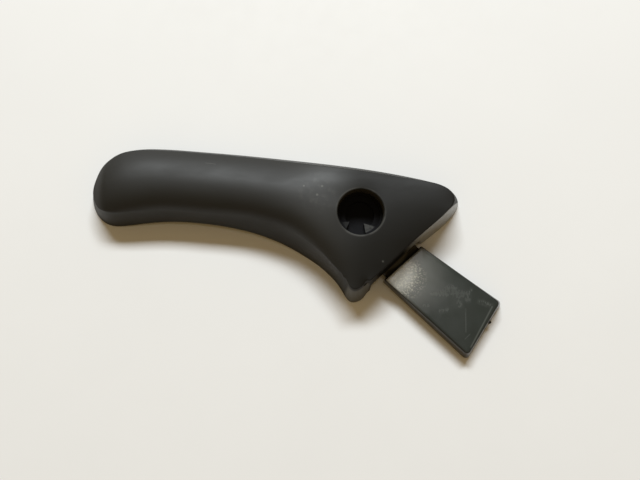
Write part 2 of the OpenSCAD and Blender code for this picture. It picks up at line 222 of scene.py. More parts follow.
# Painted shade: the block's sides and the neck, below its top, are near-black.
ARM_PAINTED_SHADE = (0.003, 0.003, 0.003)
ARM_ROUGH = 0.2
ROOT_AT, ROOT_R, ROOT_SOFT = (-3.5, 28.0), 4.5, 5.0
PIT_COLOUR, PIT_SHARE = (0.52, 0.5, 0.42), 0.45
SMUDGES = (
    ((26.4, -29.2), (29.3, -29.2), 1.3), ((29.3, -29.5), (33.0, -26.4), 1.6),
    ((33.0, -26.2), (34.8, -27.0), 1.3), ((29.8, -28.9), (39.5, -29.3), 2.1),
    ((39.5, -29.3), (40.6, -27.8), 1.4), ((35.9, -29.8), (36.6, -33.2), 1.8),
    ((39.5, -29.6), (39.5, -31.4), 1.9), ((29.3, -35.4), (32.2, -34.9), 1.4),
    ((23.4, -33.4), (24.9, -33.5), 0.8), ((44.0, -32.0), (47.6, -33.2), 1.6),
)
SCRATCHES = (((38.6, -34.6), (38.5, -43.1), 0.45), ((40.0, -43.8), (38.1, -45.6), 0.35))
# A highlight painted as a pale line along the block's far edge, in the same colour as the scuffs.
FAR_EDGE_HIGHLIGHT = ((48.4, -33.8), (40.2, -48.5), 0.45)
SCUFF_AND_HIGHLIGHT_COLOUR = (0.15, 0.165, 0.155)
SCRATCH_OF_SMUDGE, SMUDGE_SHARE, HAIR_SHARE, FAR_EDGE_HIGHLIGHT_SHARE = 0.6, 0.2, 0.03, 0.4
HAZE_AT, HAZE_R, HAZE_SOFT, HAZE_SHARE = (32.5, -29.0), 1.5, 7.0, 0.1
# A sheen painted pale round the block's root, and a fainter one spread wider.
ROOT_SHEEN_AT, ROOT_SHEEN_R, ROOT_SHEEN_SOFT, ROOT_SHEEN_SHARE = (13.5, -21.5), 4.0, 5.5, 0.2
SHEEN_SPREAD_AT, SHEEN_SPREAD_R, SHEEN_SPREAD_SOFT, SHEEN_SPREAD_SHARE = (15.0, -21.0), 5.0, 16.0, 0.07
ROOT_SHEEN_COLOUR = (1.0, 0.99, 0.9)

# The hub's finish
# The lug tops: rubbed smoother, and painted grey as a highlight, stronger towards +X.
HUB_COLOUR, HUB_PAINTED_HIGHLIGHT = (0.01, 0.01, 0.011), (0.07, 0.07, 0.066)
HUB_TOP = (FLOOR_Z - 0.5, FLOOR_Z - 0.05)
HUB_HIGHLIGHT_R, HUB_HIGHLIGHT_SOFT = SEAT_R - 2.2, 0.4
HUB_HIGHLIGHT_X, HUB_HIGHLIGHT_SHARES = (-1.5, 1.0), (0.25, 0.72)

# The camera, in mm
CAMERA_PLACE = (-14.76, -49.02, 289.76)
CAMERA_TILT = math.radians(8)
CAMERA_LENS = 43.43

# Floor, room and lamps, in metres and watts
FLOOR_HALF = 3
TABLE_DARK, TABLE_LIGHT = (0.775, 0.785, 0.79), (0.805, 0.815, 0.82)
ROOM_COLOUR = (0.26, 0.18, 0.08)
WINDOW_PLACE = (0.0, 1.69, 1.7)
WINDOW_SIZE = (1.5, 0.4)
WINDOW_POWER = 78.0
WINDOW_COLOUR = (0.86, 0.91, 0.94)
CEILING_PLACE = (0.168, 0.252, 2.38)
CEILING_SIZE = (0.26, 0.25)
CEILING_POWER = 1.5
CEILING_COLOUR = (1, 1, 1)

# How much the sharp edges of the CAD nodes and of the new boxes are rounded
EDGE_ROUND = {
    "back_cover": 0.3, "pivot_hub": 0.05, "arm_strap": 0.2, "spine_plate": 0.2,
    "rest_stop_pad": 0.3, "travel_stop_pad": 0.3,
}
PLAIN_EDGE_ROUND = 0.1
BOX_EDGE = 0.35
SHARP_ANGLE = math.radians(40)


def end_point(across, out):
    """A plan point, given across the head's end face and out from the hub's axis."""
    return (
        -across * math.sin(END_DIR) + out * math.cos(END_DIR),
        across * math.cos(END_DIR) + out * math.sin(END_DIR),
    )


# The rim's outline in two halves, from the grip's free end to the middle of the end face.
# Point k of one half lies across the handle from point k of the other.
END_MIDDLE = end_point((SLOT_FROM + SLOT_TO) / 2, END_REACH)
FRONT_RIM = [
    (-101.4, 9.0), (-100.8, 4.4), (-98.6, 0.2), (-94.4, -2.7), (-87.4, -3.3), (-74.0, -2.7),
    (-58.0, -3.7), (-41.3, -6.8), (-27.0, -11.4), (-16.5, -17.3), (-11.2, -21.8),
    (-8.0, -25.4), (-6.1, -28.4), (-4.6, -30.8), (-3.0, -31.9), (0.1, -31.3),
    (1.7, -29.9), (3.0, -28.2), end_point(SLOT_FROM, END_REACH), END_MIDDLE,
]
REAR_RIM = [
    (-101.4, 9.0), (-100.5, 13.3), (-98.3, 18.0), (-94.6, 22.5), (-88.8, 25.9), (-78.0, 27.1),
    (-60.0, 26.0), (-42.0, 24.4), (-25.0, 22.5), (-11.0, 20.9), (-2.5, 19.8), (5.5, 18.6),
    (13.0, 17.3), (20.5, 15.8), (28.2, 14.0), (34.8, 11.1), (37.9, 6.4), (36.2, 1.4),
    end_point(SLOT_TO, END_REACH), END_MIDDLE,
]
RIDGE = [
    (-93.0, 11.2), (-92.4, 11.2), (-91.2, 11.3), (-88.8, 11.5), (-84.0, 11.9), (-74.0, 12.2),
    (-58.0, 11.1), (-40.5, 8.8), (-25.0, 5.6),
]
# How far the wall leans in over the shoulder's height, at the same points
FRONT_FLARE = [
    3.2, 3.2, 3.4, 3.6, 3.7, 4.1, 3.9, 5.3, 5.2, 3.3, 2.4, 2.1, 2.1, 2.8, 3.4, 3.1, 2.4, 1.75,
    1.75, 1.75,
]
REAR_FLARE = [3.2] * 16 + [3.0, 2.2, 1.75, 1.75]
STEPS = 4
LAST = len(FRONT_RIM) - 1
HALF = LAST * STEPS
COLUMNS = 2 * HALF
RIDGE_END = len(RIDGE) * STEPS
SLOT_COLUMN = (LAST - 1) * STEPS
GRIP_LEVELS = 2
CIRCLE_FROM = math.radians(172.5)
# Where the rings lie, as shares of the way over the crown and up the wall
CROWN_PARTS = (0.0, 0.03, 0.075, 0.14, 0.23, 0.35, 0.5, 0.68, 0.86, 1.0)
WALL_PARTS = (0.0, 0.06, 0.5, 1.0)


def closed_spline(points, steps):
    """A smooth closed curve through the points, with that many steps between them."""
    p = np.array(points, float)
    n = len(p)
    step = np.roll(p, -1, 0) - p
    span = np.linalg.norm(step, axis=1) ** 0.75
    slope = step / span[:, None]
    matrix = np.zeros((n, n))
    for i in range(n):
        matrix[i, i - 1] += span[i - 1]
        matrix[i, i] += 2 * (span[i - 1] + span[i])
        matrix[i, (i + 1) % n] += span[i]
    bend = np.linalg.solve(matrix, 6 * (slope - np.roll(slope, 1, 0)))
    out = []
    for i in range(n):
        h, a, b = span[i], bend[i], bend[(i + 1) % n]
        for k in range(steps):
            t = k / steps * h
            out.append(
                p[i] + t * (slope[i] - h * (2 * a + b) / 6) + t * t * a / 2
                + t ** 3 * (b - a) / (6 * h)
            )
    return np.array(out)


def station(column):
    """How far along its half of the outline a column is, in steps."""
    return column if column <= HALF else COLUMNS - column


def inner_loop(radius):
    """Where each column ends: on the ridge line, or on a circle round the hub's axis."""
    start = (radius * math.cos(CIRCLE_FROM), radius * math.sin(CIRCLE_FROM))
    line = np.array(RIDGE + [start], float)
    loop = []
    for column in range(COLUMNS):
        s = station(column)
        if s < RIDGE_END:
            k, t = divmod(s, STEPS)
            loop.append(line[k] + (line[k + 1] - line[k]) * t / STEPS)
        else:
            t = (s - RIDGE_END) / (HALF - RIDGE_END)
            end = END_DIR + (2 * math.pi if column <= HALF else 0)
            a = CIRCLE_FROM + (end - CIRCLE_FROM) * t
            loop.append(np.array([radius * math.cos(a), radius * math.sin(a)]))
    return np.array(loop)


def smooth_step(x, low, high):
    """0 up to low and 1 from high on, with a smooth change between them."""
    t = np.clip((x - low) / (high - low), 0, 1)
    return t * t * (3 - 2 * t)


def end_share(column):
    """1 on the end face, 0 on the sides, with a smooth change at the corners."""
    s = station(column) / STEPS
    corner = END_CORNER_FRONT if column <= HALF else END_CORNER_REAR
    return float(smooth_step(np.array(s), corner - END_CORNER_SOFT, corner + END_CORNER_SOFT))


def inset(outline, inner, amounts):
    """The outline moved in by an amount for each column, measured square to the outline."""
    way = inner - outline
    way /= np.linalg.norm(way, axis=1)[:, None]
    along = np.roll(outline, -1, 0) - np.roll(outline, 1, 0)
    along /= np.linalg.norm(along, axis=1)[:, None]
    squareness = np.abs(along[:, 0] * way[:, 1] - along[:, 1] * way[:, 0])
    return outline + way * (np.array(amounts) / np.maximum(squareness, LEAST_SQUARENESS))[:, None]


def merged(rings):
    """Vertex numbers of a grid of rings, where the last ring's two halves share the ridge."""
    number = np.arange(rings * COLUMNS).reshape(rings, COLUMNS)
    for column in range(1, RIDGE_END + 1):
        number[-1, COLUMNS - column] = number[-1, column]
    return number


def skin_load(plan):
    """The load on the skin, which is heavier along the front of the grip than along its rear."""
    side = np.sin(2 * math.pi * np.arange(COLUMNS) / COLUMNS)
    share = side[None, :] * (1 - np.array(CROWN_PARTS))[:, None]
    on_grip = 1 - smooth_step(plan[:, :, 0], FRONT_LOAD_FROM, FRONT_LOAD_TO)
    return 1 + FRONT_LOAD * share * on_grip


def bulge(plan, number, edge_value):
    """Solves for the height of a loaded skin that is held at the first ring.
    plan is rings x columns x 2, and the result is the skin's value at each of them."""
    points = plan.reshape(-1, 2)
    weight = skin_load(plan).reshape(-1)
    n = len(points)
    stiffness, load = np.zeros((n, n)), np.zeros(n)
    following = np.roll(number, -1, axis=1)
    quads = np.stack([number[:-1], following[:-1], following[1:], number[1:]], -1).reshape(-1, 4)
    for corners in ((0, 1, 2), (0, 2, 3)):
        for triangle in quads[:, corners]:
            if len(set(triangle)) < 3:
                continue
            a, b, c = points[triangle]
            area = abs(np.cross(b - a, c - a)) / 2
            if area < 1e-9:
                continue
            edges = np.array([c - b, a - c, b - a])
            stiffness[np.ix_(triangle, triangle)] += edges @ edges.T / (4 * area)
            load[triangle] += area / 3 * weight[triangle].mean()
    held = number[0]
    free = np.setdiff1d(np.unique(number), held)
    value = np.zeros(n)
    value[held] = edge_value
    right = load[free] - stiffness[np.ix_(free, held)] @ value[held]
    value[free] = np.linalg.solve(stiffness[np.ix_(free, free)], right)
    return value[number]


def crown_height(skin, x):
    """Height over the shoulder: an arc across the grip, and a flatter dome on the head."""
    head = smooth_step(x, HEAD_FROM, HEAD_TO)
    skin = np.maximum(skin, 0)
    on_grip = GRIP_DOME[0] * (1 - np.exp(-GRIP_DOME[1] * skin))
    on_head = HEAD_DOME[0] * (1 - np.exp(-HEAD_DOME[1] * skin))
    height = on_grip + (on_head - on_grip) * head
    room = CEILING_Z - shoulder_z(x)
    return room - CEILING_SOFT * np.log(1 + np.exp((room - height) / CEILING_SOFT))


def shoulder_z(x):
    """Height of the shoulder, which is higher round the head and falls at the grip's end."""
    fall = END_FALL * (1 - smooth_step(x, END_FALL_FROM, END_FALL_TO))
    return SHOULDER_Z + HEAD_RISE * smooth_step(x, HEAD_FROM, HEAD_TO) - fall


def arch_z(x):
    """Height of the rim, which arches off the mounting face along the grip."""
    t = (2 * x - ARCH_FROM - ARCH_TO) / (ARCH_TO - ARCH_FROM)
    return ARCH_RISE * np.maximum(0, 1 - t * t)


def raised(plan, z):
    """Points in plan set at one height, or at a height for each of them."""
    return np.column_stack([plan, np.broadcast_to(z, len(plan))])


def wall_flare():
    """How far each column of the wall leans in over the shoulder's height."""
    return np.array([
        np.interp(station(c) / STEPS, range(LAST + 1), FRONT_FLARE if c <= HALF else REAR_FLARE)
        for c in range(COLUMNS)
    ])


def wall_rings(rim, inner, depth, top_z):
    """Rings up the wall, from the rim to the top of the arm's slot and on to top_z."""
    flare = wall_flare()
    foot = arch_z(rim[:, 0])
    rings = []
    for part in WALL_PARTS:
        z = foot + (SLOT_TOP - foot) * part
        rings.append(raised(inset(rim, inner, flare * z / SHOULDER_Z + depth), z))
    rings.append(raised(inset(rim, inner, flare * top_z / SHOULDER_Z + depth), top_z))
    return rings


def skin_rings(rim, radius, depth):
    """Rings over the crown from the shoulder to the ridge and the circle round the hub."""
    inner = inner_loop(radius)
    lift = np.array([END_EDGE_LIFT * end_share(c) for c in range(COLUMNS)])
    edge_z = shoulder_z(rim[:, 0]) + crown_height(lift, rim[:, 0])
    shoulder = inset(rim, inner, wall_flare() * edge_z / SHOULDER_Z + depth)
    plan = np.array([shoulder + (inner - shoulder) * part for part in CROWN_PARTS])
    skin = bulge(plan, merged(len(CROWN_PARTS)), lift)
    return plan, crown_height(skin, plan[:, :, 0])


def add_ring(bm, ring):
    """New vertices at a ring's points, given in millimetres."""
    return [bm.verts.new(Vector(p) * MM) for p in ring]


def bridge(bm, low, high, columns=None, wrap=True):
    """Quads between two rings, for all the columns or the ones given."""
    count = len(low)
    for column in columns if columns is not None else range(count if wrap else count - 1):
        nxt = (column + 1) % count
        bm.faces.new((low[column], low[nxt], high[nxt], high[column]))


def circle_part(ring):
    """The part of a ring that runs round the hub, as a closed loop."""
    return list(ring[RIDGE_END:COLUMNS - RIDGE_END])


def hole_rings(edge):
    """Rings from the crown's edge over the rounded rim and down the recess to the boss."""
    plan = edge[:, :2] / np.linalg.norm(edge[:, :2], axis=1)[:, None]
    rings = []
    for degrees in HOLE_EDGE_DEGREES:
        a = math.radians(degrees)
        r = HOLE_R + HOLE_FILLET * (1 - math.sin(a))
        rings.append(raised(plan * r, edge[:, 2] - HOLE_FILLET * (1 - math.cos(a))))
    for r, z in (
        (HOLE_R, HOLE_Z[0]), (HOLE_R, HOLE_Z[1]), (HOLE_R, FLOOR_Z + FLOOR_FILLET),
        (HOLE_R, FLOOR_Z), (SEAT_R, FLOOR_Z), (SEAT_R, BOSS_Z), (BOSS_R, BOSS_Z),
        (BOSS_R, BOSS_Z + BOSS_FILLET), (BOSS_R, BOSS_TOP_Z),
    ):
        rings.append(raised(plan * r, z))
    return rings


def crease_loop(bm, loop, amount, wrap=True):
    """Keeps the edges along a loop crisp under the subdivision, by that amount."""
    layer = bm.edges.layers.float.get("crease_edge") or bm.edges.layers.float.new("crease_edge")
    for a, b in zip(loop, loop[1:] + loop[:1] if wrap else loop[1:]):
        edge = bm.edges.get((a, b))
        if edge:
            edge[layer] = amount


def add_box(bm, low, high, spin, size=BOX_EDGE):
    """A block with rounded edges, between two corners in the frame that spin turns from."""
    made = bmesh.ops.create_cube(bm, size=1)["verts"]
    low, high = Vector(low), Vector(high)
    for v in made:
        local = Vector((v.co[i] * (high[i] - low[i]) + (high[i] + low[i]) / 2 for i in range(3)))
        x, y = spin(local.x, local.y)
        v.co = Vector((x, y, local.z)) * MM
    faces = list({f for v in made for f in v.link_faces})
    bmesh.ops.recalc_face_normals(bm, faces=faces)
    edges = list({e for f in faces for e in f.edges})
    bmesh.ops.bevel(bm, geom=edges, offset=size * MM, segments=2, affect="EDGES")


def close_tube(bm, rings):
    """Joins rings into a tube and closes both its ends."""
    bm.faces.new(rings[0][::-1])
    bm.faces.new(rings[-1])
    for near, far in zip(rings, rings[1:]):
        bridge(bm, near, far)


def circle_angles(count):
    """That many angles, spread evenly over a turn."""
    return [2 * math.pi * k / count for k in range(count)]


def circle_ring(bm, place, z, radius, count, lobe=0.0):
    """A level ring of vertices round a place, with the lobes of a socket if lobe is given."""
    points = []
    for a in circle_angles(count):
        r = radius + lobe * math.cos(SOCKET_LOBES * a)
        points.append((place[0] + r * math.cos(a), place[1] + r * math.sin(a), z))
    return add_ring(bm, points)


def new_object(name, bm):
    """A smooth-shaded object made of the mesh so far."""
    mesh = bpy.data.meshes.new(name)
    bm.to_mesh(mesh)
    bm.free()
    piece = bpy.data.objects.new(name, mesh)
    bpy.context.scene.collection.objects.link(piece)
    mesh.polygons.foreach_set("use_smooth", [True] * len(mesh.polygons))
    return piece


def add_subdivision(piece, levels):
    """Smooths a cage mesh by that many levels of subdivision."""
    modifier = piece.modifiers.new("subdivision", "SUBSURF")
    modifier.levels = modifier.render_levels = levels
    modifier.uv_smooth = "NONE"


def ease_slot(ring):
    """Moves the hollow's wall away from the slot, on the side that the arm swings to."""
    for step, share in enumerate(SLOT_EASE_SHARES):
        ease = Vector((*end_point(-SLOT_EASE * share, 0), 0)) * MM
        ring[SLOT_COLUMN - step].co += ease


def make_grip():
    """The moulding: its outer skin, its rounded recess, its hollow and the arm's slot."""
    rim = closed_spline(FRONT_RIM + REAR_RIM[-2:0:-1], STEPS)
    plan, height = skin_rings(rim, HOLE_R + HOLE_FILLET, 0)
    in_plan, in_height = skin_rings(rim, BOSS_R, WALL)
    bm = bmesh.new()
    edge_z = shoulder_z(plan[0][:, 0]) + height[0]
    outer = [add_ring(bm, r) for r in wall_rings(rim, plan[-1], 0, edge_z - EDGE_SOFT)]
    outer += [add_ring(bm, raised(p, shoulder_z(p[:, 0]) + h)) for p, h in zip(plan, height)]
    in_edge = np.minimum(shoulder_z(in_plan[0][:, 0]), SHOULDER_Z) - INNER_DROP
    inner = [add_ring(bm, r) for r in wall_rings(rim, in_plan[-1], WALL, in_edge - INNER_SOFT)]
    inner += [
        add_ring(bm, raised(p, np.maximum(shoulder_z(p[:, 0]) + h - WALL, in_edge)))
        for p, h in zip(in_plan, in_height)
    ]
    for ring in inner[:len(WALL_PARTS)]:
        ease_slot(ring)
    slot = range(SLOT_COLUMN, COLUMNS - SLOT_COLUMN)
    whole = [c for c in range(COLUMNS) if c not in slot]
    low_wall = len(WALL_PARTS) - 1
    for k in range(len(outer) - 1):
        bridge(bm, outer[k], outer[k + 1], whole if k < low_wall else None)
    for k in range(len(inner) - 1):
        bridge(bm, inner[k + 1], inner[k], whole if k < low_wall else None)
    bridge(bm, inner[0], outer[0], whole)
    bridge(bm, inner[low_wall], outer[low_wall], slot)
    for column, flip in ((SLOT_COLUMN, False), (COLUMNS - SLOT_COLUMN, True)):
        for k in range(low_wall):
            face = (inner[k][column], outer[k][column], outer[k + 1][column], inner[k + 1][column])
            bm.faces.new(face[::-1] if flip else face)
    edge = np.array([np.array(v.co) / MM for v in circle_part(outer[-1])])
    bore = [circle_part(outer[-1])] + [add_ring(bm, r) for r in hole_rings(edge)]
    for low, high in zip(bore, bore[1:]):
        bridge(bm, low, high)
    bridge(bm, bore[-1], circle_part(inner[-1]))
    for ring in (outer[0], inner[0]):
        crease_loop(bm, ring, RIM_CREASE)
    for ring in bore[SEAT_RINGS]:
        crease_loop(bm, ring, SEAT_CREASE)
    for rings in (outer, inner):
        top = rings[low_wall][SLOT_COLUMN:COLUMNS - SLOT_COLUMN + 1]
        crease_loop(bm, top, SLOT_CREASE, wrap=False)
        for column in (SLOT_COLUMN, COLUMNS - SLOT_COLUMN):
            side = [rings[k][column] for k in range(low_wall + 1)]
            crease_loop(bm, side, SLOT_CREASE, wrap=False)
    bmesh.ops.remove_doubles(bm, verts=bm.verts, dist=1e-7)
    bmesh.ops.dissolve_degenerate(bm, edges=bm.edges, dist=1e-8)
    bmesh.ops.recalc_face_normals(bm, faces=bm.faces)
    grip = new_object("grip_moulding", bm)
    add_subdivision(grip, GRIP_LEVELS)
    return grip


def add_post(bm, place, low, high, radius):
    """A round post from the ceiling down, with a rounded foot."""
    profile = [(radius - inset_by, low + rise) for inset_by, rise in BOSS_POST_FOOT]
    profile.append((radius, high))
    close_tube(bm, [circle_ring(bm, place, z, r, BOSS_POST_SIDES) for r, z in profile])


def make_ribs():
    """The stop ribs and screw posts that hang from the moulding's ceiling."""
    bm = bmesh.new()
    for low_x in (REST_RIB_X, TRAVEL_RIB_X):
        high = (low_x + RIB_T, RIB_TO, SHOULDER_Z + RIB_RISE)
        add_box(bm, (low_x, RIB_FROM, PAD_Z), high, end_point)
    for x, y in COVER_BOSSES:
        low = arch_z(x) + PLATE_RISE + PAD_T + POST_GAP
        add_post(bm, (x, y), low, SHOULDER_Z + POST_RISE, BOSS_POST_R)
    return new_object("grip_ribs", bm)


# ---------------------------------------------------------------- the arm's block
def rounded_outline(corners, radii, steps):
    """A closed outline with an arc at each corner of a polygon that turns to the left."""
    outline = []
    count = len(corners)
    for k in range(count):
        before, corner, after = (Vector(corners[(k + i) % count]) for i in (-1, 0, 1))
        back, on = (before - corner).normalized(), (after - corner).normalized()
        half_angle = back.angle(on) / 2
        centre = corner + (back + on).normalized() * radii[k] / math.sin(half_angle)
        start = (corner + back * radii[k] / math.tan(half_angle)) - centre
        sweep = math.pi - 2 * half_angle
        for step in range(steps + 1):
            turn = Matrix.Rotation(sweep * step / steps, 2)
            outline.append(centre + turn @ start)
    return outline


def drawn_in(corners, amount):
    """A convex polygon's corners moved in by the same distance from every side."""
    moved = []
    count = len(corners)
    for k in range(count):
        before, corner, after = (Vector(corners[(k + i) % count]) for i in (-1, 0, 1))
        back, on = (before - corner).normalized(), (after - corner).normalized()
        moved.append(corner + (back + on).normalized() * amount / math.sin(back.angle(on) / 2))
    return moved


def block_corners(share):
    """The block's four corners in plan at a share of the way down, from the head to the left."""
    length = BLOCK_LEN + BLOCK_END_DRAFT * share
    far = BLOCK_W_FAR / 2 + BLOCK_DRAFT * share
    near = BLOCK_W_NEAR / 2 + BLOCK_NEAR_DRAFT * share
    end = Vector((length * math.sin(BLOCK_SKEW), BLOCK_START + length * math.cos(BLOCK_SKEW)))
    half = Vector((math.cos(BLOCK_END_TILT), -math.sin(BLOCK_END_TILT))) * far
    return [(-near, BLOCK_START), (near, BLOCK_START), tuple(end + half), tuple(end - half)]


def make_arm_block():
    """The block: drafted sides, rounded edges, a slightly crowned top, and its neck."""
    low, high = (corner[2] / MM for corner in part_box("arm_block"))
    edge = BLOCK_EDGE_R
    profile = [(amount, low + rise) for amount, rise in BLOCK_FOOT] + [(0.0, high - edge)]
    profile += [
        (edge * (1 - math.cos(a)), high - edge * (1 - math.sin(a)))
        for a in (math.radians(d) for d in BLOCK_EDGE_DEGREES)
    ]
    profile += [
        (edge + step, high + BLOCK_CROWN * (1 - (1 - step / BLOCK_CROWN_SPAN) ** 2))
        for step in BLOCK_CROWN_STEPS
    ]
    bm = bmesh.new()
    rings = []
    for amount, z in profile:
        corners = block_corners(min(max((high - edge - z) / (high - edge - low), 0), 1))
        radii = [max(r - amount, BLOCK_LEAST_R) for r in BLOCK_CORNER_R]
        outline = rounded_outline(drawn_in(corners, amount), radii, BLOCK_ARC_STEPS)
        rings.append(add_ring(bm, [(*end_point(p.x, p.y), z) for p in outline]))
    close_tube(bm, rings)
    half = NECK_W / 2
    neck_end = (half, BLOCK_START + NECK_OVERLAP, NECK_Z + NECK_T)
    add_box(bm, (-half, NECK_FROM, NECK_Z), neck_end, end_point)
    right, left = block_corners(GATE_SHARE)[2:]
    gate = Vector(right).lerp(Vector(left), GATE_PLACE)
    gate_low = (*(gate + Vector(GATE_LOW)), GATE_Z)
    gate_high = (*(gate + Vector(GATE_HIGH)), GATE_Z + GATE_T)
    add_box(bm, gate_low, gate_high, end_point, GATE_EDGE)
    bmesh.ops.recalc_face_normals(bm, faces=bm.faces)
    return new_object("arm_block_moulding", bm)


# ---------------------------------------------------------------- spring and screws
def leg_point(angle, along, z):
    """A point on the line that leaves the coil at an angle, square to the coil's radius."""
    return Vector((
        COIL_R * math.cos(angle) + along * math.sin(angle),
        COIL_R * math.sin(angle) - along * math.cos(angle), z,
    ))


def spring_path():
    """Centres along the wire, from its straight end at the anchor over the coil to the one at
    the post, and how far the coil rises."""
    reach = COIL_R + PIN_R + WIRE_R + LEG_GAP
    post = Vector(end_point(*POST_AT))
    anchor = Vector(ANCHOR_AT)
    fixed = math.atan2(anchor.y, anchor.x) - math.acos(reach / anchor.length)
    moving = math.atan2(post.y, post.x) + math.acos(reach / post.length)
    turn = fixed - moving + 2 * math.pi * SPRING_TURNS
    rise = COIL_PITCH * turn / (2 * math.pi)
    path = [leg_point(fixed, along, COIL_Z + rise) for along in (-FIXED_LEG, -FIXED_LEG / 2)]
    for k in range(COIL_STEPS + 1):
        share = k / COIL_STEPS
        path.append(leg_point(fixed - turn * share, 0, COIL_Z + rise * (1 - share)))
    path += [leg_point(moving, along, COIL_Z) for along in (MOVING_LEG / 2, MOVING_LEG)]
    return path, rise


def make_spring():
    """The wire along its path, with both ends closed."""
    path, _ = spring_path()
    bm = bmesh.new()
    rings = []
    for k, point in enumerate(path):
        along = (path[min(k + 1, len(path) - 1)] - path[max(k - 1, 0)]).normalized()
        side = along.cross(Vector((0, 0, 1))).normalized()
        up = side.cross(along)
        rings.append(add_ring(bm, [
            point + WIRE_R * (side * math.cos(a) + up * math.sin(a))
            for a in circle_angles(WIRE_SIDES)
        ]))
    close_tube(bm, rings)
    bmesh.ops.recalc_face_normals(bm, faces=bm.faces)
    return new_object("return_spring_wire", bm)


def make_cover_screws():
    """Screws with a domed head and a six-lobed socket that hold the back cover."""
    bm = bmesh.new()
    for place in COVER_BOSSES:
        low = arch_z(place[0]) + PLATE_RISE
        socket = [
            circle_ring(bm, place, low + z, r, SCREW_SIDES, SOCKET_LOBE) for r, z in SCREW_SOCKET
        ]
        turned = [circle_ring(bm, place, low + z, r, SCREW_SIDES) for r, z in SCREW_TURNED]
        close_tube(bm, socket + turned)
    bmesh.ops.recalc_face_normals(bm, faces=bm.faces)
    return new_object("cover_screw_set", bm)


def soften(node, width):
    """Joins a CAD node's split corners and rounds its sharp edges a little."""
    weld = node.modifiers.new("weld", "WELD")
    weld.merge_threshold = 1e-6
    bevel = node.modifiers.new("bevel", "BEVEL")
    bevel.width = width * MM
    bevel.segments = 2
    bevel.limit_method = "ANGLE"
    bevel.angle_limit = SHARP_ANGLE
    bevel.harden_normals = True


